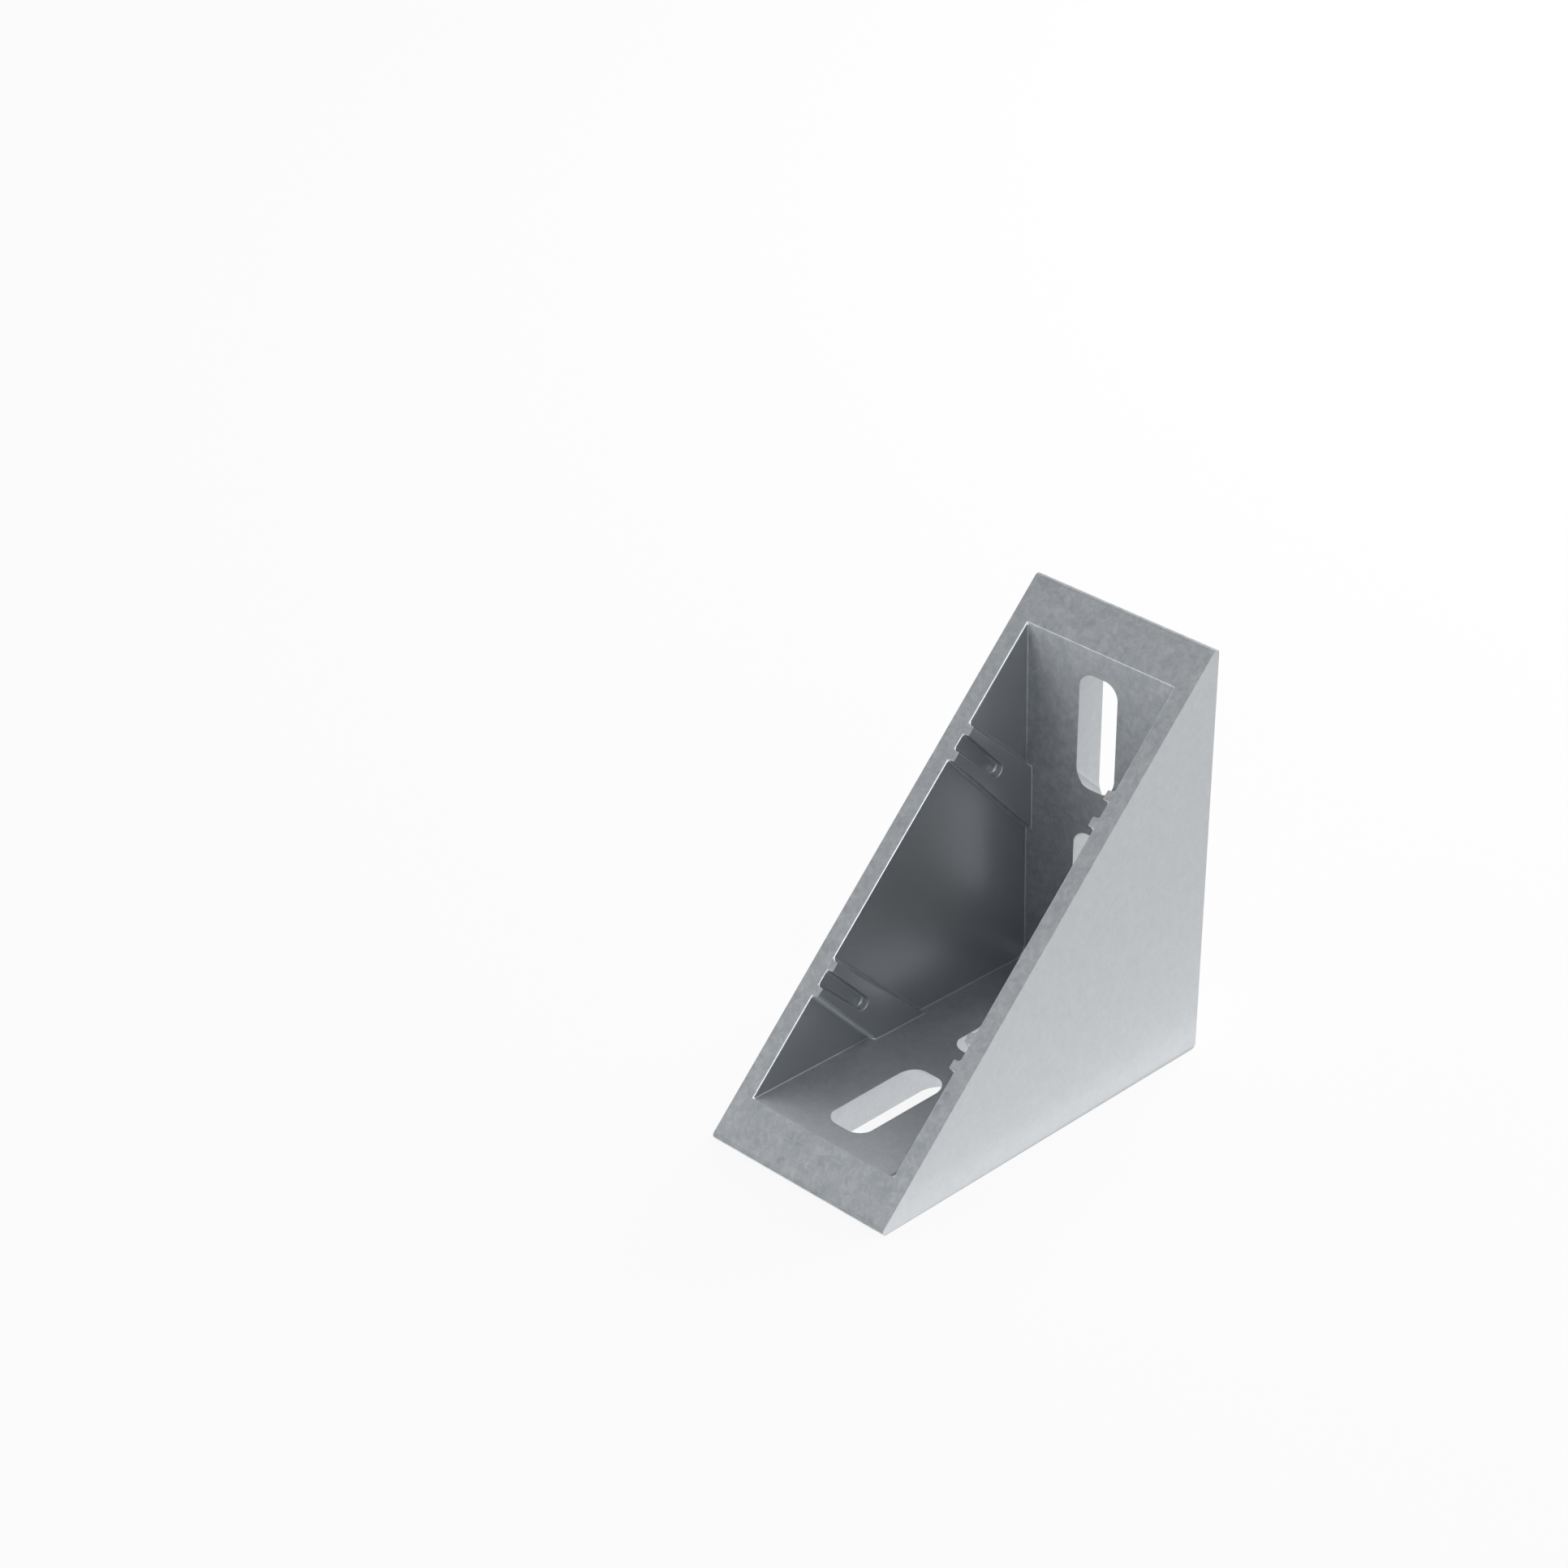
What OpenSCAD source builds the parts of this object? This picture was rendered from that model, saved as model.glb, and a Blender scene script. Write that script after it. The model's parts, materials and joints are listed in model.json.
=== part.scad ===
// T slot corner bracket: a cast right-angle bracket with two closed sides, two slots in each leg
// and a pair of grooved pads on the inside of each side wall.
// Millimetres, +Z up. The base leg lies on Z = 0 and runs to -Y, the upright leg stands with its
// mounting face on Y = 0, and the width runs along X about the middle.
// The origin is the middle of the heel edge, where the two mounting faces would meet.

/* [Legs] */
// Length of each leg, from the heel edge to the tip of the leg (mm)
leg_l = 80; // [78:1:100]
// Width over the side walls, at the rim (mm)
body_w = 39.7; // [38:0.1:50]
// Thickness of each leg (mm)
plate_t = 7; // [5:0.5:8]
// Radius on the tip of each leg (mm)
tip_r = 0.8; // [0.4:0.1:1.2]
// Radius on the outer heel edge (mm)
heel_r = 1; // [0.5:0.1:2]
// Radius of the inside corner between the legs (mm)
inner_r = 2.3; // [1:0.1:4]

/* [Side walls] */
// Thickness of each side wall at the rim (mm)
wall_t = 3.55; // [3:0.05:4.5]
// Draft on the inside of the side walls, from the direction square to the rim (degrees)
wall_draft = 2; // [0.5:0.1:2.5]
// Draft on the outside of the side walls (degrees)
outer_draft = 0.4; // [0.2:0.1:1]

/* [Slots] */
// Width of the slots on the inside of the legs, for M8 screws (mm)
slot_w = 8.5; // [7:0.1:9]
// Length of the slots on the inside of the legs (mm)
slot_l = 21.8; // [18:0.1:22.5]
// Radius in the corners of the slots (mm)
slot_corner_r = 2.95; // [1.5:0.05:3.2]
// How much each side of a slot opens out for each millimetre through the leg (mm)
slot_flare = 0.085; // [0.02:0.005:0.12]
// Distance from the tip of a leg to the near end of its outer slot (mm)
slot_from_tip = 11.8; // [11:0.1:13]
// Web left between the two slots of a leg (mm)
slot_web = 9.1; // [8:0.1:10]

/* [Clip pads] */
// Distance from the middle of the rim to the near side of a pad (mm)
pad_from_mid = 19.6; // [14:0.1:20]
// Length of a pad along the rim (mm)
pad_l = 6.9; // [6:0.1:8]
// How far a pad stands out from the side wall (mm)
pad_h = 1.25; // [0.8:0.05:1.8]
// Width of the groove in a pad at the rim (mm)
groove_w = 3.15; // [2:0.05:3.6]
// Width of the groove where its round end starts (mm)
groove_end_w = 2.6; // [1.8:0.05:3]
// Depth of the groove under the rim (mm)
groove_l = 12.9; // [8:0.1:16]

/* [Hidden] */

$fn = 64;
eps = 0.5;
cast_grey = [0.60, 0.62, 0.63];

// The rim is the slope between the two tips. Its frame has X across, Y up along the slope from
// its middle and Z out of the rim, so the casting is drawn along its Z.
rim_half = leg_l / sqrt(2);
heel_depth = leg_l / sqrt(2);
half_w = body_w / 2;
inner_half = half_w - wall_t;
pad_half = inner_half - pad_h;
over = 4;
deep = heel_depth + over;
wall_k = tan(wall_draft);
outer_k = tan(outer_draft);

slot_out = leg_l - slot_from_tip;
slot_pitch = slot_l + slot_web;
// The corner cones reach a little past the slot's sides, which trim them.
trim = 0.03;
mid_half = slot_w / 2 - slot_corner_r + trim;
// Way of the draw in (Y, Z), and how much a slot's side opens for each millimetre along it.
draw_way = [1, -1] / sqrt(2);
draw_flare = slot_flare / sqrt(2);
through = plate_t * sqrt(2) + over;
outer_lean = atan(slot_flare);
inner_lean = atan(draw_flare / (1 - draw_flare));

groove_mid = pad_from_mid + pad_l / 2;
groove_end_r = groove_end_w / 2;
groove_round = groove_l - groove_end_r;

module in_rim_frame() {
  translate([0, -leg_l / 2, leg_l / 2])
    rotate([45, 0, 0])
      children();
}

// Turns an outline drawn in (Y, Z) into a prism along X.
module across(width) {
  rotate([90, 0, 90])
    linear_extrude(height = width, center = true)
      children();
}

// Turns an outline drawn in (X, out of the rim) of the rim's frame into a prism along the slope.
module along_rim() {
  in_rim_frame()
    rotate([90, 0, 0])
      linear_extrude(height = 2 * rim_half + 2 * over, center = true)
        children();
}

// Half of the two legs' symmetry: what is made for the upright leg is repeated for the base leg.
module both_legs() {
  children();
  in_rim_frame()
    mirror([0, 1, 0])
      rotate([-45, 0, 0])
        translate([0, leg_l / 2, -leg_l / 2])
          children();
}

// A band about the middle of the width that narrows with depth under the rim.
module drafted_band(half_at_rim, k, up) {
  along_rim()
    polygon([
      [-half_at_rim - k * up, up],
      [-half_at_rim + k * deep, -deep],
      [half_at_rim - k * deep, -deep],
      [half_at_rim + k * up, up]
    ]);
}

// What a corner loses when it is rounded about a centre; the two ways point square to its faces.
module round_off(centre, r, way_a, way_b, corner) {
  reach = 2 * r;
  difference() {
    polygon([
      centre,
      centre + reach * way_a,
      centre + reach * corner,
      centre + reach * way_b
    ]);
    translate(centre) circle(r = r);
  }
}

// Outline of the bracket from the side: a right triangle with rounded corners.
module side_outline() {
  to_tip = 1 + sqrt(2);
  rim_way = [-1, 1] / sqrt(2);
  difference() {
    polygon([
      [0, 0],
      [-leg_l, 0],
      [0, leg_l]
    ]);
    round_off([-heel_r, heel_r], heel_r, [0, -1], [1, 0], [1, -1]);
    round_off([-leg_l + tip_r * to_tip, tip_r], tip_r, [0, -1], rim_way, [-to_tip, -1]);
    round_off([-tip_r, leg_l - tip_r * to_tip], tip_r, [1, 0], rim_way, [1, to_tip]);
  }
}

// Outline of the hollow from the side, open above the rim.
module hollow_outline() {
  far = leg_l - plate_t + 2 * over;
  union() {
    polygon([
      [-plate_t - inner_r, plate_t],
      [-far, plate_t],
      [-far, far],
      [-plate_t, far],
      [-plate_t, plate_t + inner_r]
    ]);
    translate([-plate_t - inner_r, plate_t + inner_r]) circle(r = inner_r);
  }
}

// Outline of a pad, along the slope and out of the rim, as wide at its foot as the draft makes it.
module pad_outline() {
  polygon([
    [pad_from_mid + wall_k * over, over],
    [pad_from_mid - wall_k * deep, -deep],
    [pad_from_mid + pad_l + wall_k * deep, -deep],
    [pad_from_mid + pad_l - wall_k * over, over]
  ]);
}

// Outline of a groove, along the slope and out of the rim.
module groove_outline() {
  slope = (groove_w - groove_end_w) / 2 / groove_round;
  union() {
    polygon([
      [groove_mid - groove_w / 2 - slope * over, over],
      [groove_mid - groove_end_r, -groove_round],
      [groove_mid + groove_end_r, -groove_round],
      [groove_mid + groove_w / 2 + slope * over, over]
    ]);
    translate([groove_mid, -groove_round]) circle(r = groove_end_r);
  }
}

// The pads of both side walls on the upright's half of the rim, grooves already taken out.
module pads() {
  difference() {
    in_rim_frame()
      across(body_w)
        difference() {
          pad_outline();
          groove_outline();
        }
    drafted_band(pad_half, wall_k, over);
  }
}

// The groove floors run straight down from the rim, a little into the drafted walls.
module grooves() {
  in_rim_frame()
    across(2 * inner_half)
      groove_outline();
}

module hollow() {
  difference() {
    intersection() {
      across(body_w)
        hollow_outline();
      drafted_band(inner_half, wall_k, over);
    }
    pads();
    in_rim_frame()
      mirror([0, 1, 0])
        rotate([-45, 0, 0])
          translate([0, leg_l / 2, -leg_l / 2])
            pads();
  }
  both_legs()
    grooves();
}

// One slot of the upright, with its outer end at the given height. The outer end is square to the
// leg; the inner end runs along the draw, at 45 degrees to the leg; the sides open outwards.
// The corners are cones, leaned over so that they stay against the end walls.
module slot(top) {
  low = top - slot_l;
  outer_axis = [-plate_t, top - slot_corner_r * cos(outer_lean)];
  inner_axis = [-plate_t, low + sqrt(2) * slot_corner_r * cos(inner_lean)];
  outer_way = [cos(outer_lean), -sin(outer_lean)];
  inner_way = [cos(45 - inner_lean), -sin(45 - inner_lean)];
  inner_wall = inner_axis - [1, 1] * slot_corner_r * cos(inner_lean) / sqrt(2);
  side_in = slot_w / 2 - slot_flare * over;
  side_out = slot_w / 2 + slot_flare * (plate_t + over);
  intersection() {
    // Both sides, longer than the slot.
    translate([0, 0, low - slot_l])
      linear_extrude(height = 3 * slot_l)
        polygon([
          [-side_in, -plate_t - over],
          [side_in, -plate_t - over],
          [side_out, over],
          [-side_out, over]
        ]);
    union() {
      // Full width, between the axes of the corners.
      across(2 * slot_w)
        polygon([
          inner_axis - over * inner_way,
          inner_axis + through * inner_way,
          outer_axis + through * outer_way,
          outer_axis - over * outer_way
        ]);
      // Middle band, with both end walls.
      across(2 * mid_half)
        polygon([
          inner_wall - over * draw_way,
          inner_wall + through * draw_way,
          [through, low],
          [through, top],
          [-plate_t - over, top]
        ]);
      for (side = [-1, 1]) {
        corner_cone(side * mid_half, outer_axis, -90 - outer_lean, outer_lean);
        corner_cone(side * mid_half, inner_axis, -135 + inner_lean, inner_lean);
      }
    }
  }
}

// A cone for the corner of a slot, of the corner's radius where its axis crosses the inside.
module corner_cone(x, at, turn, lean) {
  translate([x, at[0], at[1]])
    rotate([turn, 0, 0])
      translate([0, 0, -over])
        cylinder(
          h = through + over,
          r1 = slot_corner_r - tan(lean) * over,
          r2 = slot_corner_r + tan(lean) * through
        );
}

module slots() {
  slot(slot_out);
  slot(slot_out - slot_pitch);
}

module body() {
  color(cast_grey)
    difference() {
      intersection() {
        across(body_w + 2 * eps)
          side_outline();
        drafted_band(half_w, outer_k, over);
      }
      hollow();
      both_legs()
        slots();
    }
}

body();
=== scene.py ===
"""A cast corner bracket for T slot framing, in satin grey metal: open sloping front, slots in both legs."""
import json
import math

import bmesh
import bpy
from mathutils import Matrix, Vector

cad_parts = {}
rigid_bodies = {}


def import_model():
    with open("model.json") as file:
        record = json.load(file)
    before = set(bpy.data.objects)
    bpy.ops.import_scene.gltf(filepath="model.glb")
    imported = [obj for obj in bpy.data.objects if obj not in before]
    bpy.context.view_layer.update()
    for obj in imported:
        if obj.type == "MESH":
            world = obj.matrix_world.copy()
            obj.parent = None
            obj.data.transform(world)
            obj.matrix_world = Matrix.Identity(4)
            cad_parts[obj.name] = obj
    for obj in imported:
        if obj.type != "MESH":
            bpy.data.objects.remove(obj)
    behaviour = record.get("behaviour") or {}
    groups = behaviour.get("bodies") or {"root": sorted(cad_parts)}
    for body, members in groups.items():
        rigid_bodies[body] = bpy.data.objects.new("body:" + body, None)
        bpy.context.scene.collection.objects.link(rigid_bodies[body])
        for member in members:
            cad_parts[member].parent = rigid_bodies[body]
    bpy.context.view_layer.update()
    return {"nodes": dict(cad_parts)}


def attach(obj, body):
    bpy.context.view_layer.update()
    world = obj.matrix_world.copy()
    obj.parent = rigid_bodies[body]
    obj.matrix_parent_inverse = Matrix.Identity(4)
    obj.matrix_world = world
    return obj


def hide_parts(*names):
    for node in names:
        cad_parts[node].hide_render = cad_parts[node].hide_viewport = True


MM = 0.001

# The bracket's own sizes, in millimetres. Both half widths are taken at the rim, the sloping front.
LEG_LENGTH = 80.0
LEG_THICKNESS = 7.0
HOLLOW_HALF = 16.3
PAD_HALF = 15.05
HOLLOW_HEEL_RADIUS = 2.3

# Ways square to the rim, and up along it.
OUT_OF_RIM = Vector((0, -1, 1)).normalized()
UP_THE_RIM = Vector((0, 1, 1)).normalized()
# How far the rim's plane lies from the origin, where the two mounting planes meet, in metres.
RIM_FROM_ORIGIN = LEG_LENGTH * MM * math.sqrt(0.5)

# Limits that tell features apart, in millimetres: depth under the rim, distance along it from its middle,
# and distance across from the bracket's middle plane.
RIM_DEPTH = 1.0
TIP_DEPTH = 2.0
TIP_ALONG = 50.0
SLOT_DEPTHS = (3.0, 52.0)
SLOT_HALF = 5.2
GROOVE_DEPTHS = (0.05, 13.5)
GROOVE_ALONG = (21.2, 24.9)
GROOVE_ACROSS = (PAD_HALF - 1, HOLLOW_HALF)
PAD_DEPTH = 32.0
PAD_ALONG = (17.0, 29.0)
HOLLOW_HEEL_DEPTH = 44.0
HEEL_DEPTH = 54.0
SIDE_ACROSS = 18.0

# How much of a face's normal points a certain way, for the kinds that go by it.
SQUARE_ON = 0.999
SIDEWAYS = 0.7
DOWN_THE_RIM = 0.9
TIP_FRONT = 0.6
SLOT_FOOT = 0.3

# Radius on the edge between two kinds of face, in millimetres. Edges not named here aren't rounded.
EDGE_RADII = {
    ("rim", "wall"): 0.28,
    ("leg", "rim"): 0.16,
    ("pad", "rim"): 0.12,
    ("flank", "rim"): 0.14,
    ("groove", "rim"): 0.14,
    ("rim", "rubbed_flank"): 0.14,
    ("rim", "side"): 0.07,
    ("side", "tip"): 0.07,
    ("heel", "side"): 0.07,
    ("mount", "side"): 0.07,
    ("leg", "wall"): 0.28,
    ("hollow_heel", "wall"): 0.28,
    ("flank", "wall"): 0.80,
    ("rubbed_flank", "wall"): 0.50,
    ("flank", "pad"): 0.30,
    ("pad", "rubbed_flank"): 0.68,
    ("flank", "leg"): 0.40,
    ("leg", "rubbed_flank"): 0.40,
    ("leg", "pad"): 0.30,
    ("groove", "pad"): 0.24,
    ("groove", "wall"): 0.70,
    ("leg", "slot"): 0.12,
    ("mount", "slot"): 0.15,
}
# Radius where the right wall meets the base. It runs out round the hollow's heel.
RIGHT_CORNER = 1.0
RIGHT_CORNER_PAIRS = (("leg", "wall"), ("hollow_heel", "wall"))
WIDEST_EDGE = max(RIGHT_CORNER, *EDGE_RADII.values())
EDGE_SEGMENTS = 4
# Unrounded edges that turn more than this keep their crease.
SHARP_ANGLE = math.radians(35)
# How much the shading of a corner goes by the largest face that meets there.
FLATS_FIRST = 100

# Curved faces: flats that each is made of, and the kinds of face that its two rows of vertices border.
CURVED = {
    "slot": (9, ("leg", "mount")),
    "groove": (16, ("pad", "wall")),
    "hollow_heel": (9, ("wall",)),
    "heel": (6, ("side",)),
    "tip": (8, ("side",)),
}
# An area that every flat of a curved face stays under, in square metres.
SMALL_FACE = 8 * MM * MM

# Distances in metres within which points are one, or lie on the middle plane, and the angle between flats
# that are one flat.
SAME_POINT = 0.001 * MM
ON_MIDDLE = 0.0001 * MM
SAME_FLAT = math.radians(0.5)

# Slots of the two materials. The bevel's own faces take the lower slot of the faces that they join.
# Slot 0 paints a highlight strip on the lower pads' down-facing flanks.
FLANK_HIGHLIGHT_SLOT = 0
CAST_SLOT = 1

# What each face holds for its material: how far it is machined, which also lightens it, partly as painted
# light, how strong its grain is, how light its colour is, and how rough it is. Where that lightness isn't 1
# it is painted light
# and shade: lighter on the upright, the base's slots and the lower tip's underside, darker on the hollow's
# walls and pads, the tips' fronts, the upper tip and the lower ends of the upright's slots.
FACE_VALUES = ("machined_and_painted_light", "grain", "shade", "roughness")
FINISHES = {
    "rim": (0, 1.0, 1, 0.38),
    "leg": (0, 0.45, 1, 0.38),
    # The upright's lighter colour is painted light, as light falling from the front onto its inner face.
    "upright": (0, 0.95, 1.06, 0.46),
    # The walls' and pads' darker colour is painted shade inside the hollow.
    "wall": (0, 0.1, 0.93, 0.38),
    "pad": (0, 0.1, 0.96, 0.34),
    "flank": (0, 0.1, 1, 0.24),
    "rubbed_flank": (0, 0.1, 1, 0.24),
    "groove": (0, 0.1, 1, 0.24),
    "hollow_heel": (0, 0.2, 1, 0.38),
    # The tips' fronts and the upper tip are darkened, painted shade over the lamps' light on their rounded
    # edges; the lower tip's underside is lightened, painted light where it turns away from the light.
    "tip": (0, 1.0, 0.85, 0.6),
    "tip_under": (0, 1.0, 1.6, 0.6),
    "top_tip": (0, 1.0, 0.88, 0.6),
    "side": (1, 0.24, 1, 0.36),
    "mount": (1, 0.3, 1, 0.36),
    "slot": (1, 0.3, 1.02, 0.36),
    # The lower ends of the upright's slots are darkened: painted shade.
    "slot_foot": (1, 0.3, 0.75, 0.36),
    # The base's slots are lightened: painted light, as from the floor beneath them.
    "base_slot": (1, 0.3, 1.2, 0.36),
    "heel": (1, 0.3, 1, 0.36),
}

CAST_COLOUR = (0.40, 0.423, 0.446, 1)
CAST_METALLIC = 0.55
# Lighter colour of the machined faces: partly a smoother machined finish, partly painted light that the
# right side and the slots catch.
MACHINED_AND_PAINTED_LIGHT_COLOUR = (0.54, 0.563, 0.584, 1)
MACHINED_METALLIC = 0.7
# Lighter metal: rubbed wear with a painted highlight on the rim's inner edges, and a painted highlight on
# the lower pads' down-facing flanks.
WEAR_AND_HIGHLIGHT_COLOUR = (0.765, 0.80, 0.835, 1)
RIM_LINE_METALLIC = 0.9
RIM_LINE_ROUGHNESS = 0.25
# The lower pads' down-facing flanks, where lighter metal paints a highlight strip.
FLANK_HIGHLIGHT_METALLIC = 0.3
FLANK_HIGHLIGHT_ROUGHNESS = 0.3

# The line of lighter metal on the rim's inner edges, rubbed wear with a painted highlight, in millimetres:
# its depth under the rim, and its limits across.
RIM_LINE_DEPTH = 0.3
RIM_LINE_ACROSS = (HOLLOW_HALF - 0.3, HOLLOW_HALF + 0.5)
# Turn to the side at which the line starts, and at which it is full.
RIM_LINE_TURN = (0.15, 0.4)

# Grain: features per metre, and its height in metres. Each noise has a share of that scale, its detail
# and its distortion.
GRAIN_SCALE = 750.0
GRAIN_DEPTH = 0.00002
FINE_NOISE = (1.0, 2.0, 1.0)
CLOUDY_NOISE = (0.4, 1.0, 0.5)
CLOUD_SHARE = 0.3
# How far the grain swings the tone, its two tints, and how far the tint goes with the tone.
TONE_REACH = 0.85
WARM_TINT = (1.055, 1.0, 0.945, 1)
COOL_TINT = (0.945, 1.0, 1.055, 1)
TINT_WITH_TONE = 0.6

# The world's strength where it lights the object, and where it is seen.
AMBIENT = 0.2
BACKDROP = 1.0
# Half the floor's width in metres, and how light its paint is.
FLOOR_HALF = 4.0
FLOOR_WHITE = 0.85
# The floor lies this far under the bracket, in metres, so that the two don't share a plane.
FLOOR_GAP = 0.00003
# How much of the shadow on the floor is seen.
SHADOW_SHARE = 0.1

# Camera, in metres, degrees and the lens's millimetres.
CAMERA_PLACE = (0.416805, -0.498579, 0.418692)
CAMERA_TILT = 60.0
CAMERA_AZIMUTH = 45.0
CAMERA_LENS = 100.0
CAMERA_SENSOR = 36.0
CAMERA_RANGE = (0.01, 20.0)

# Softboxes: azimuth and elevation in degrees, side in metres, watts.
SOFTBOXES = {
    "left front": (328, 6, 0.50, 2.4),
    "right front": (64, 29, 0.35, 0.66),
    "right top": (90, 62, 0.50, 0.86),
    "back": (180, 35, 0.50, 7.0),
    "back left": (225, 62, 0.50, 1.08),
}
# Distance of the softboxes and the point that they are aimed at, in metres.
SOFTBOX_DISTANCE = 0.9
SOFTBOX_AIM = Vector((0, -0.03, 0.03))

# Low light strips on the floor along the right side: inner edge, outer edge in millimetres, milliwatts.
FLOOR_STRIPS = {
    "near strip": (19.95, 25.3, 0.98),
    "middle strip": (25.3, 34.3, 0.75),
    "far strip": (34.3, 50.3, 0.78),
}
# Length of a strip, its middle in y and its height over the ground, in metres.
STRIP_LENGTH = 0.16
STRIP_MIDDLE = -0.02
STRIP_HEIGHT = 0.00005

# Sockets of a mix node that hold its first value and its result, for numbers and for colours.
MIX_NUMBERS = (2, 0)
MIX_COLOURS = (6, 2)


def area_lamp(name, sides, watts):
    """A rectangular lamp that isn't seen itself."""
    lamp = bpy.data.lights.new(name, "AREA")
    lamp.shape = "RECTANGLE"
    lamp.size, lamp.size_y = sides
    lamp.energy = watts
    thing = bpy.data.objects.new(name, lamp)
    thing.visible_camera = False
    bpy.context.scene.collection.objects.link(thing)
    return thing


def softbox(name, azimuth, elevation, side, watts):
    """A square lamp aimed at the hollow."""
    thing = area_lamp(name, (side, side), watts)
    turn = math.radians(azimuth)
    rise = math.radians(elevation)
    way = Vector((math.sin(turn) * math.cos(rise), -math.cos(turn) * math.cos(rise), math.sin(rise)))
    thing.location = SOFTBOX_AIM + way * SOFTBOX_DISTANCE
    thing.rotation_euler = way.to_track_quat("Z", "Y").to_euler()


def floor_strip(name, inner, outer, milliwatts):
    """A narrow lamp that lies on the floor beside the bracket and shines upwards."""
    thing = area_lamp(name, ((outer - inner) * MM, STRIP_LENGTH), milliwatts * 0.001)
    thing.location = ((inner + outer) / 2 * MM, STRIP_MIDDLE, STRIP_HEIGHT)
    thing.rotation_euler = (math.pi, 0, 0)


def feed(tree, value, socket):
    """Sets a socket to a number or a colour, or links another node's output to it."""
    if isinstance(value, (float, tuple)):
        socket.default_value = value
    else:
        tree.links.new(value, socket)


def math_node(tree, operation, first, second=0.0):
    """One step of arithmetic on numbers."""
    node = tree.nodes.new("ShaderNodeMath")
    node.operation = operation
    feed(tree, first, node.inputs[0])
    feed(tree, second, node.inputs[1])
    return node.outputs[0]


def vector_node(tree, operation, first, second):
    """One step of arithmetic on vectors or colours. Where it scales one, the second value is a number."""
    node = tree.nodes.new("ShaderNodeVectorMath")
    node.operation = operation
    feed(tree, first, node.inputs[0])
    feed(tree, second, node.inputs["Scale" if operation == "SCALE" else 1])
    return node.outputs


def blend(tree, mask, low, high, colours=False):
    """low where the mask is 0 and high where it is 1, of numbers or of colours."""
    mix = tree.nodes.new("ShaderNodeMix")
    mix.data_type = "RGBA" if colours else "FLOAT"
    first, result = MIX_COLOURS if colours else MIX_NUMBERS
    feed(tree, mask, mix.inputs[0])
    feed(tree, low, mix.inputs[first])
    feed(tree, high, mix.inputs[first + 1])
    return mix.outputs[result]


def blend_shaders(tree, mask, low, high):
    """The shader low where the mask is 0 and high where it is 1."""
    mix = tree.nodes.new("ShaderNodeMixShader")
    feed(tree, mask, mix.inputs[0])
    feed(tree, low, mix.inputs[1])
    feed(tree, high, mix.inputs[2])
    return mix.outputs[0]


def any_ray(tree, *names):
    """1 for the rays that are named, 0 for the others."""
    path = tree.nodes.new("ShaderNodeLightPath")
    value = path.outputs[names[0]]
    for name in names[1:]:
        value = math_node(tree, "MAXIMUM", value, path.outputs[name])
    return value


def backdrop(tree, strength):
    """The world's light at one strength."""
    light = tree.nodes.new("ShaderNodeBackground")
    light.inputs["Strength"].default_value = strength
    return light.outputs[0]


def pale_world():
    """Pale where it is seen, also in metal; a low level where it lights the object."""
    world = bpy.data.worlds.new("world")
    bpy.context.scene.world = world
    world.use_nodes = True
    tree = world.node_tree
    tree.nodes.clear()
    seen = any_ray(tree, "Is Camera Ray", "Is Glossy Ray", "Is Transmission Ray")
    both = blend_shaders(tree, seen, backdrop(tree, AMBIENT), backdrop(tree, BACKDROP))
    out = tree.nodes.new("ShaderNodeOutputWorld")
    tree.links.new(both, out.inputs["Surface"])


def floor_paint():
    """White paint: the camera sees it with the bracket's shadow, metal sees it plain white.

    From below it is clear, so that the underside of the bracket can be looked at.
    """
    paint = bpy.data.materials.new("floor white")
    paint.use_nodes = True
    tree = paint.node_tree
    tree.nodes.clear()
    matt_paint = tree.nodes.new("ShaderNodeBsdfDiffuse")
    matt_paint.inputs["Color"].default_value = (FLOOR_WHITE, FLOOR_WHITE, FLOOR_WHITE, 1)
    matt = matt_paint.outputs[0]
    white = tree.nodes.new("ShaderNodeEmission").outputs[0]
    clear = tree.nodes.new("ShaderNodeBsdfTransparent").outputs[0]
    seen = blend_shaders(tree, SHADOW_SHARE, white, matt)
    lit = blend_shaders(tree, any_ray(tree, "Is Camera Ray"), matt, seen)
    above = blend_shaders(tree, any_ray(tree, "Is Glossy Ray", "Is Transmission Ray"), lit, white)
    place = tree.nodes.new("ShaderNodeNewGeometry")
    both_sides = blend_shaders(tree, place.outputs["Backfacing"], above, clear)
    out = tree.nodes.new("ShaderNodeOutputMaterial")
    tree.links.new(both_sides, out.inputs["Surface"])
    return paint


def pale_floor():
    """A wide flat floor, just under the bracket."""
    bm = bmesh.new()
    bmesh.ops.create_grid(bm, x_segments=1, y_segments=1, size=FLOOR_HALF)
    mesh = bpy.data.meshes.new("floor")
    bm.to_mesh(mesh)
    bm.free()
    floor = bpy.data.objects.new("floor", mesh)
    floor.location.z = -FLOOR_GAP
    bpy.context.scene.collection.objects.link(floor)
    mesh.materials.append(floor_paint())


def photo_camera():
    """The camera, from the right and above."""
    camera = bpy.data.objects.new("camera", bpy.data.cameras.new("camera"))
    camera.data.lens = CAMERA_LENS
    camera.data.sensor_width = CAMERA_SENSOR
    camera.data.clip_start, camera.data.clip_end = CAMERA_RANGE
    camera.location = CAMERA_PLACE
    camera.rotation_euler = (math.radians(CAMERA_TILT), 0, math.radians(CAMERA_AZIMUTH))
    bpy.context.scene.collection.objects.link(camera)
    bpy.context.scene.camera = camera


def studio():
    """Camera, floor, lamps and world."""
    photo_camera()
    bpy.context.scene.view_settings.view_transform = "Standard"
    pale_world()
    pale_floor()
    for name, values in SOFTBOXES.items():
        softbox(name, *values)
    for name, values in FLOOR_STRIPS.items():
        floor_strip(name, *values)


def within(value, limits):
    """True for a value between two limits."""
    return limits[0] < value < limits[1]


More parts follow.
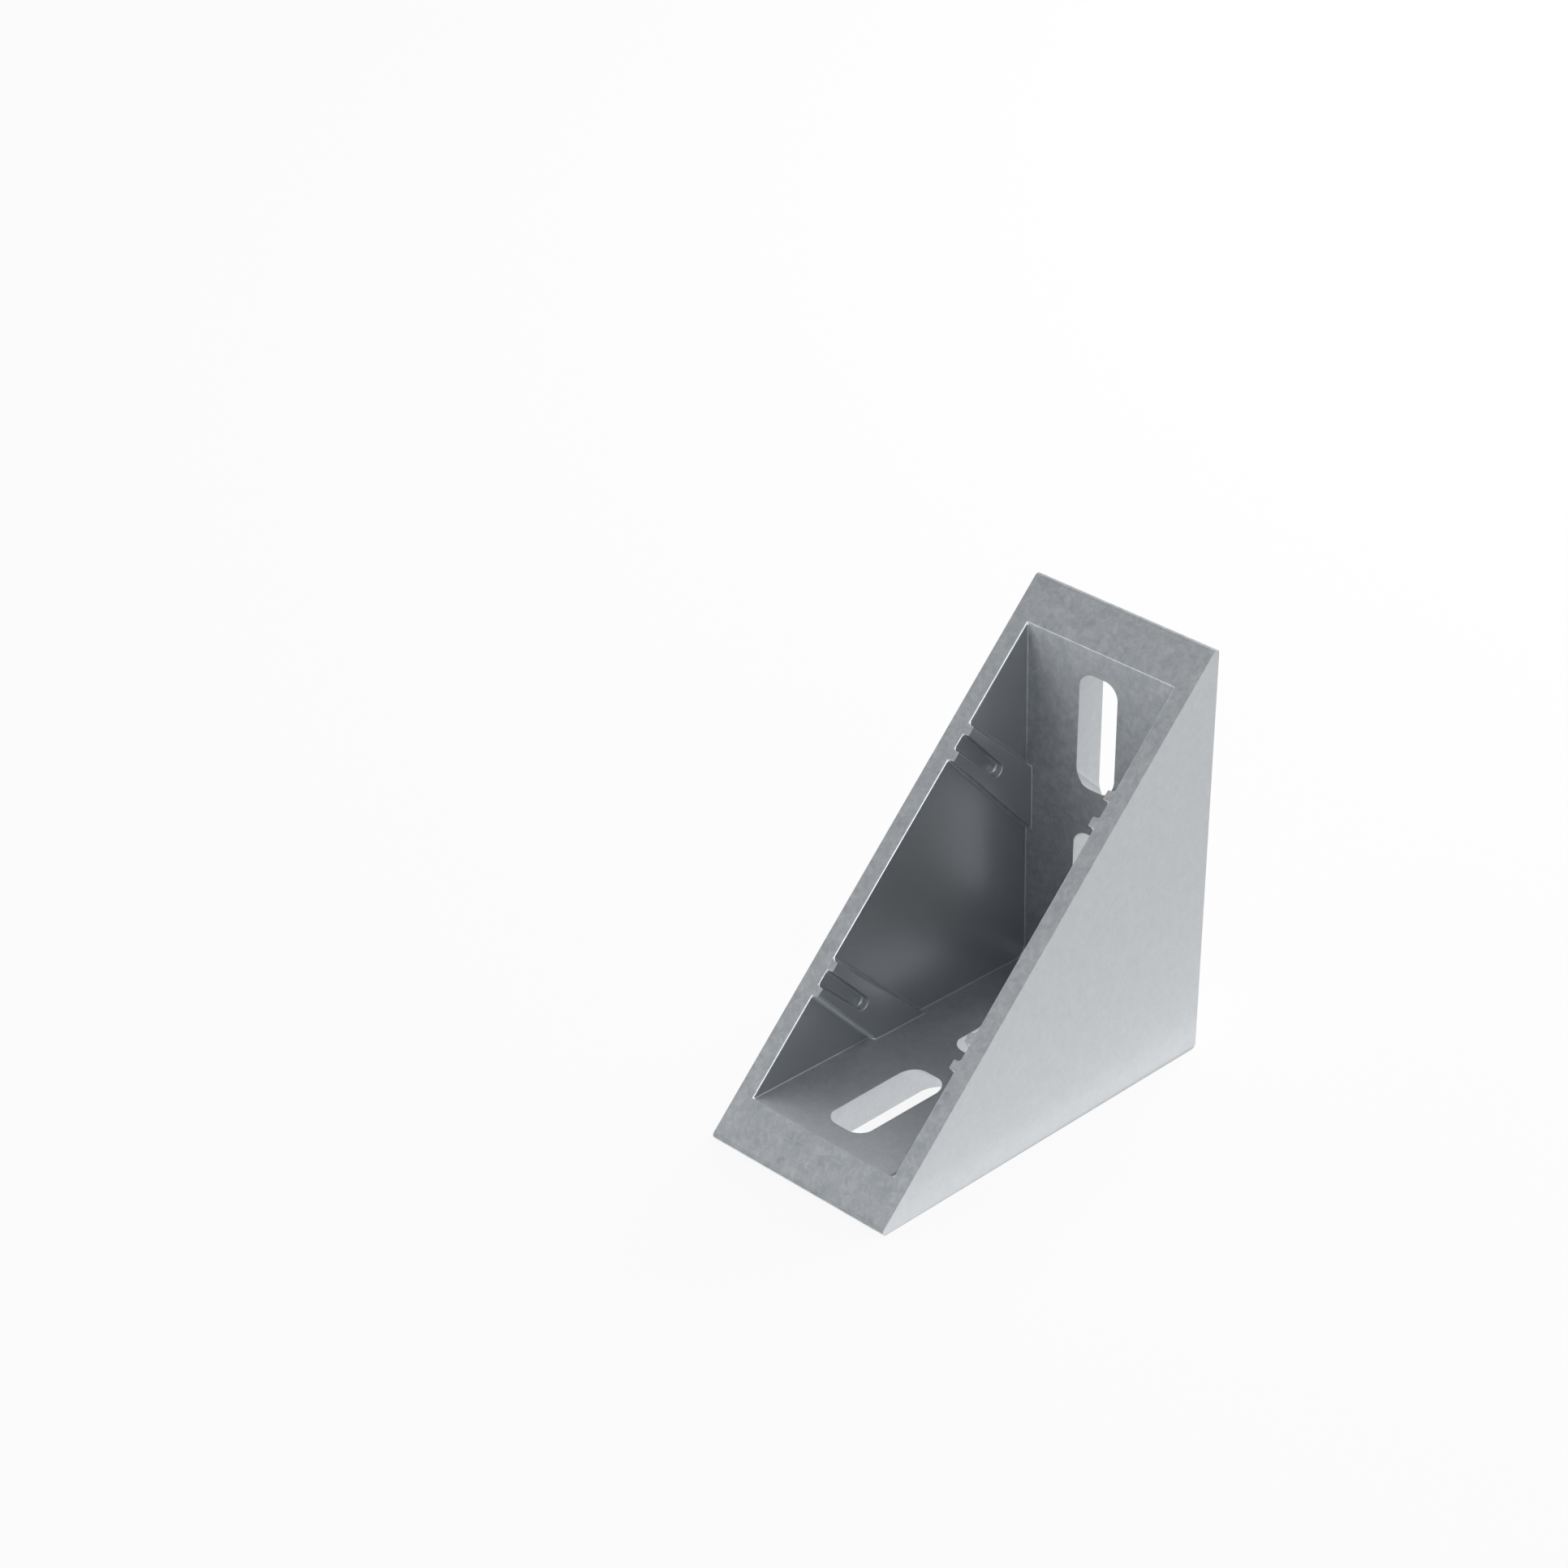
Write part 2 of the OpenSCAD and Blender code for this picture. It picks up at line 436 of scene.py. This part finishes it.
def face_kind(face):
    """What a flat or curved piece of the casting is, from where it lies and the way it faces."""
    normal = face.normal
    centre = face.calc_center_median() / MM
    depth = (centre.y - centre.z + LEG_LENGTH) / math.sqrt(2)
    along = abs(centre.y + centre.z) / math.sqrt(2)
    across = abs(centre.x)
    sideways = abs(normal.x) > SIDEWAYS
    cuts_upright = centre.y > -LEG_THICKNESS and abs(normal.y) < SQUARE_ON
    cuts_base = centre.z < LEG_THICKNESS and abs(normal.z) < SQUARE_ON
    if (cuts_upright or cuts_base) and across < SLOT_HALF and within(depth, SLOT_DEPTHS):
        return "slot"
    in_a_groove = within(along, GROOVE_ALONG) and within(across, GROOVE_ACROSS)
    if in_a_groove and within(depth, GROOVE_DEPTHS) and not sideways:
        return "groove"
    if normal.dot(OUT_OF_RIM) > SQUARE_ON and depth < RIM_DEPTH:
        return "rim"
    if normal.y > SQUARE_ON or normal.z < -SQUARE_ON:
        return "mount"
    if depth < TIP_DEPTH and along > TIP_ALONG and not sideways:
        return "tip"
    if sideways and across > SIDE_ACROSS:
        return "side"
    if sideways:
        on_a_pad = across < PAD_HALF and within(along, PAD_ALONG) and depth < PAD_DEPTH
        return "pad" if on_a_pad else "wall"
    if normal.y < -SQUARE_ON or normal.z > SQUARE_ON:
        return "leg"
    if depth > HEEL_DEPTH:
        return "heel"
    if depth > HOLLOW_HEEL_DEPTH:
        return "hollow_heel"
    # The lower pads' down-facing flanks get a kind of their own, which carries a painted highlight.
    on_a_lower_pad = centre.z < LEG_LENGTH / 2
    faces_down = normal.dot(UP_THE_RIM) < -DOWN_THE_RIM
    return "rubbed_flank" if on_a_lower_pad and faces_down else "flank"


def finish_of(face, kind):
    """Figures of FINISHES for a face; tips, legs and slots differ from place to place, and these places
    carry painted light and shade in their colour.
    """
    height = face.calc_center_median().z / MM
    if kind == "tip" and height > LEG_LENGTH / 2:
        kind = "top_tip"
    elif kind == "tip" and face.normal.dot(OUT_OF_RIM) < TIP_FRONT:
        kind = "tip_under"
    elif kind == "leg" and height > 2 * LEG_THICKNESS:
        kind = "upright"
    elif kind == "slot" and height < LEG_THICKNESS:
        kind = "base_slot"
    elif kind == "slot" and face.normal.z > SLOT_FOOT:
        kind = "slot_foot"
    return FINISHES[kind]


def noise(tree, given, share, detail, distortion):
    """Noise on the group's own Vector, at a share of its Scale."""
    texture = tree.nodes.new("ShaderNodeTexNoise")
    texture.inputs["Detail"].default_value = detail
    texture.inputs["Distortion"].default_value = distortion
    tree.links.new(given.outputs["Vector"], texture.inputs["Vector"])
    scale = math_node(tree, "MULTIPLY", given.outputs["Scale"], share)
    tree.links.new(scale, texture.inputs["Scale"])
    return texture.outputs


def cast_grain():
    """Fine grain of a casting's skin: tone and tint, both round 0.5, and a height."""
    group = bpy.data.node_groups.new("cast grain", "ShaderNodeTree")
    group.interface.new_socket("Vector", in_out="INPUT", socket_type="NodeSocketVector")
    group.interface.new_socket("Scale", in_out="INPUT", socket_type="NodeSocketFloat")
    for name in ("Tone", "Tint", "Height"):
        group.interface.new_socket(name, in_out="OUTPUT", socket_type="NodeSocketFloat")
    given = group.nodes.new("NodeGroupInput")
    fine = noise(group, given, *FINE_NOISE)
    cloud = noise(group, given, *CLOUDY_NOISE)
    tone = blend(group, CLOUD_SHARE, fine["Fac"], cloud["Fac"])
    speck = group.nodes.new("ShaderNodeSeparateColor")
    group.links.new(fine["Color"], speck.inputs[0])
    tint = blend(group, TINT_WITH_TONE, speck.outputs["Green"], tone)
    made = group.nodes.new("NodeGroupOutput")
    group.links.new(tone, made.inputs["Tone"])
    group.links.new(tint, made.inputs["Tint"])
    group.links.new(fine["Fac"], made.inputs["Height"])
    return group


def size_of_x(tree, vector):
    """How large a vector's x is, without its sign."""
    parts = tree.nodes.new("ShaderNodeSeparateXYZ")
    tree.links.new(vector, parts.inputs[0])
    return math_node(tree, "ABSOLUTE", parts.outputs["X"])


def rim_wear_and_highlight():
    """1 on the rounded edges between the rim and the hollow's walls, with a soft start, 0 elsewhere: where
    rubbed wear and a painted highlight lighten the metal.
    """
    group = bpy.data.node_groups.new("rim wear and painted highlight", "ShaderNodeTree")
    for name in ("Vector", "Normal"):
        group.interface.new_socket(name, in_out="INPUT", socket_type="NodeSocketVector")
    group.interface.new_socket("Mask", in_out="OUTPUT", socket_type="NodeSocketFloat")
    given = group.nodes.new("NodeGroupInput")
    rise = vector_node(group, "DOT_PRODUCT", given.outputs["Vector"], tuple(OUT_OF_RIM))["Value"]
    near_rim = math_node(group, "GREATER_THAN", rise, RIM_FROM_ORIGIN - RIM_LINE_DEPTH * MM)
    across = size_of_x(group, given.outputs["Vector"])
    off_pads = math_node(group, "GREATER_THAN", across, RIM_LINE_ACROSS[0] * MM)
    off_side = math_node(group, "LESS_THAN", across, RIM_LINE_ACROSS[1] * MM)
    turned = group.nodes.new("ShaderNodeMapRange")
    turned.inputs["From Min"].default_value = RIM_LINE_TURN[0]
    turned.inputs["From Max"].default_value = RIM_LINE_TURN[1]
    group.links.new(size_of_x(group, given.outputs["Normal"]), turned.inputs["Value"])
    mask = turned.outputs[0]
    for condition in (near_rim, off_pads, off_side):
        mask = math_node(group, "MULTIPLY", mask, condition)
    made = group.nodes.new("NodeGroupOutput")
    group.links.new(mask, made.inputs["Mask"])
    return group


def use_group(tree, group, **given):
    """The outputs of a node group whose inputs are fed by name."""
    node = tree.nodes.new("ShaderNodeGroup")
    node.node_tree = group
    for name, value in given.items():
        feed(tree, value, node.inputs[name])
    return node.outputs


def face_value(tree, name):
    """A value that the mesh holds for each of its faces."""
    value = tree.nodes.new("ShaderNodeAttribute")
    value.attribute_name = name
    return value.outputs["Fac"]


def swing(tree, grain, reach, strength, middle):
    """Turns a grain value that lies round 0.5 into one round the middle, with a swing of its own."""
    from_half = math_node(tree, "SUBTRACT", grain, 0.5)
    wide = math_node(tree, "MULTIPLY", from_half, reach)
    here = math_node(tree, "MULTIPLY", wide, strength)
    return math_node(tree, "ADD", here, middle)


def cast_colour(tree, skin, machined_and_painted_light, strength, rim_wear_and_highlight_mask):
    """The metal's colour: cast; lighter where machined, partly as painted light; lighter still on the rim
    line, rubbed wear with a painted highlight; with the grain's tint and tone, and each face's painted
    light and shade.
    """
    without_rim_line = blend(tree, machined_and_painted_light, CAST_COLOUR, MACHINED_AND_PAINTED_LIGHT_COLOUR, colours=True)
    plain = blend(tree, rim_wear_and_highlight_mask, without_rim_line, WEAR_AND_HIGHLIGHT_COLOUR, colours=True)
    warmth = swing(tree, skin["Tint"], 1.0, strength, 0.5)
    tint = blend(tree, warmth, COOL_TINT, WARM_TINT, colours=True)
    tinted = vector_node(tree, "MULTIPLY", plain, tint)["Vector"]
    tone = swing(tree, skin["Tone"], TONE_REACH, strength, 1.0)
    # The face's shade value paints light and shade into the colour, as FINISHES lists.
    shade = math_node(tree, "MULTIPLY", tone, face_value(tree, "shade"))
    return vector_node(tree, "SCALE", tinted, shade)["Vector"]


def cast_metal(grain, rim_line):
    """Satin cast metal, lighter and smoother where it is machined, partly as painted light, and brighter on
    its rim's inner edges, rubbed wear with a painted highlight.
    """
    metal = bpy.data.materials.new("cast metal")
    metal.use_nodes = True
    tree = metal.node_tree
    shader = tree.nodes["Principled BSDF"]
    place = tree.nodes.new("ShaderNodeTexCoord").outputs
    skin = use_group(tree, grain, Vector=place["Object"], Scale=GRAIN_SCALE)
    rim_wear_and_highlight_mask = use_group(tree, rim_line, Vector=place["Object"], Normal=place["Normal"])["Mask"]
    machined_and_painted_light = face_value(tree, "machined_and_painted_light")
    strength = face_value(tree, "grain")
    colour = cast_colour(tree, skin, machined_and_painted_light, strength, rim_wear_and_highlight_mask)
    tree.links.new(colour, shader.inputs["Base Color"])
    metallic = blend(tree, machined_and_painted_light, CAST_METALLIC, MACHINED_METALLIC)
    metallic = blend(tree, rim_wear_and_highlight_mask, metallic, RIM_LINE_METALLIC)
    tree.links.new(metallic, shader.inputs["Metallic"])
    roughness = blend(tree, rim_wear_and_highlight_mask, face_value(tree, "roughness"), RIM_LINE_ROUGHNESS)
    tree.links.new(roughness, shader.inputs["Roughness"])
    bump = tree.nodes.new("ShaderNodeBump")
    bump.inputs["Distance"].default_value = GRAIN_DEPTH
    tree.links.new(math_node(tree, "MULTIPLY", skin["Height"], strength), bump.inputs["Height"])
    tree.links.new(bump.outputs["Normal"], shader.inputs["Normal"])
    return metal


def flank_highlight_metal():
    """Lighter, shinier metal on the lower pads' down-facing flanks: a painted highlight strip."""
    metal = bpy.data.materials.new("flank painted highlight")
    metal.use_nodes = True
    shader = metal.node_tree.nodes["Principled BSDF"]
    shader.inputs["Base Color"].default_value = WEAR_AND_HIGHLIGHT_COLOUR
    shader.inputs["Metallic"].default_value = FLANK_HIGHLIGHT_METALLIC
    shader.inputs["Roughness"].default_value = FLANK_HIGHLIGHT_ROUGHNESS
    return metal


def right_half(bm):
    """Keeps the half with x above 0 and takes out the lines between faces that lie in one plane."""
    everything = bm.verts[:] + bm.edges[:] + bm.faces[:]
    middle_plane = {"plane_co": (0, 0, 0), "plane_no": (1, 0, 0)}
    bmesh.ops.bisect_plane(bm, geom=everything, dist=ON_MIDDLE, clear_inner=True, **middle_plane)
    bmesh.ops.dissolve_limit(bm, angle_limit=SAME_FLAT, verts=bm.verts, edges=bm.edges)


def both_halves(bm):
    """Adds the left half as the mirror image of the right one."""
    everything = bm.verts[:] + bm.edges[:] + bm.faces[:]
    bmesh.ops.mirror(bm, geom=everything, merge_dist=SAME_POINT, axis="X")
    bmesh.ops.recalc_face_normals(bm, faces=bm.faces)


def row_from(edges):
    """Takes one open row of joined edges off the list and gives its vertices in order."""
    row = list(edges.pop(0).verts)
    for end in (-1, 0):
        following = True
        while following:
            following = next((e for e in edges if row[end] in e.verts), None)
            if following:
                edges.remove(following)
                row.insert(len(row) if end else 0, following.other_vert(row[end]))
    return row


def place_evenly(bm, row, steps):
    """Thins a row of vertices, spaces those that stay evenly along it, and gives the edges between them."""
    reach = [0.0]
    for here, there in zip(row, row[1:]):
        reach.append(reach[-1] + (there.co - here.co).length)
    places = []
    for step in range(1, steps):
        at = reach[-1] * step / steps
        after = next(i for i, r in enumerate(reach) if r >= at)
        share = (at - reach[after - 1]) / (reach[after] - reach[after - 1])
        places.append(row[after - 1].co.lerp(row[after].co, share))
    spare = [v for v in row[1:-1] if len(v.link_edges) == 2][:len(row) - 1 - steps]
    row = [v for v in row if v not in spare]
    bmesh.ops.dissolve_verts(bm, verts=spare)
    for vert, place in zip(row[1:-1], places):
        vert.co = place
    return [bm.edges.get(pair) for pair in zip(row, row[1:])]


def curve_from(flats):
    """Takes the joined flats of one curved face off the list and gives them."""
    curve = [flats.pop(0)]
    kind = face_kind(curve[0])
    for face in curve:
        near = [f for f in flats if face_kind(f) == kind and any(e in face.edges for e in f.edges)]
        curve.extend(near)
        flats[:] = [f for f in flats if f not in near]
    return curve


def lay_again(bm, curve):
    """Makes a curved face a row of equal quads, between the two rows of vertices along its sides."""
    steps, borders = CURVED[face_kind(curve[0])]
    edges = list(dict.fromkeys(e for f in curve for e in f.edges))
    verts = list(dict.fromkeys(v for f in curve for v in f.verts))
    rails = [e for e in edges if e.is_boundary or any(face_kind(f) in borders for f in e.link_faces)]
    rows = [row_from(rails), row_from(rails)]
    bmesh.ops.delete(bm, geom=curve, context="FACES_KEEP_BOUNDARY")
    kept = rows[0] + rows[1]
    odd = [v for v in verts if v.is_valid and v not in kept and len(v.link_edges) == 2]
    bmesh.ops.dissolve_verts(bm, verts=odd)
    sides = [place_evenly(bm, row, steps) for row in rows]
    bmesh.ops.bridge_loops(bm, edges=sides[0] + sides[1])


def even_curves(bm):
    """Lays every curved face again, so that its edges take a bevel."""
    flats = [f for f in bm.faces if face_kind(f) in CURVED and f.calc_area() < SMALL_FACE]
    while flats:
        lay_again(bm, curve_from(flats))


def finish_faces(bm):
    """Gives each face the values that its material reads, and its material."""
    layers = [bm.faces.layers.float.new(name) for name in FACE_VALUES]
    for face in bm.faces:
        kind = face_kind(face)
        for layer, value in zip(layers, finish_of(face, kind)):
            face[layer] = value
        face.material_index = FLANK_HIGHLIGHT_SLOT if kind == "rubbed_flank" else CAST_SLOT


def edge_radius(edge):
    """Radius of an edge in millimetres, from the kinds of the two faces that it joins."""
    pair = tuple(sorted(face_kind(f) for f in edge.link_faces))
    radius = EDGE_RADII.get(pair, 0)
    if pair in RIGHT_CORNER_PAIRS and edge.verts[0].co.x > 0:
        middle = (edge.verts[0].co + edge.verts[1].co) / 2 / MM
        run_out = min(1, max(0, (middle.z - LEG_THICKNESS) / HOLLOW_HEEL_RADIUS))
        radius = RIGHT_CORNER + (radius - RIGHT_CORNER) * run_out
    return radius


def weigh_edges(bm):
    """Gives each edge its share of the bevel, and a crease where it stays sharp."""
    weights = bm.edges.layers.float.new("bevel_weight_edge")
    for edge in bm.edges:
        radius = edge_radius(edge)
        edge[weights] = radius / WIDEST_EDGE
        edge.smooth = radius > 0 or edge.calc_face_angle(0) < SHARP_ANGLE


def round_edges(body):
    """Rounds the edges by their weights, and shades the flats evenly."""
    bevel = body.modifiers.new("edges", "BEVEL")
    bevel.limit_method = "WEIGHT"
    bevel.width = WIDEST_EDGE * MM
    bevel.segments = EDGE_SEGMENTS
    bevel.use_clamp_overlap = False
    bevel.miter_outer = "MITER_SHARP"
    shading = body.modifiers.new("shading", "WEIGHTED_NORMAL")
    shading.keep_sharp = True
    shading.weight = FLATS_FIRST


def casting_mesh():
    """The solid's own mesh with even curves, and with its finish and fillets marked on it."""
    bm = bmesh.new()
    bm.from_mesh(frame["nodes"]["body"].data)
    bmesh.ops.remove_doubles(bm, verts=bm.verts, dist=SAME_POINT)
    right_half(bm)
    even_curves(bm)
    both_halves(bm)
    finish_faces(bm)
    weigh_edges(bm)
    mesh = bpy.data.meshes.new("casting")
    bm.to_mesh(mesh)
    bm.free()
    for polygon in mesh.polygons:
        polygon.use_smooth = True
    return mesh


def casting():
    """The casting with its fillets and its metal."""
    mesh = casting_mesh()
    mesh.materials.append(flank_highlight_metal())
    mesh.materials.append(cast_metal(cast_grain(), rim_wear_and_highlight()))
    body = bpy.data.objects.new("casting", mesh)
    bpy.context.scene.collection.objects.link(body)
    round_edges(body)
    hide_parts("body")
    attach(body, "root")


def clear_the_file():
    """Takes out the objects that a new file holds."""
    for thing in list(bpy.data.objects):
        bpy.data.objects.remove(thing)


clear_the_file()
studio()
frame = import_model()
casting()
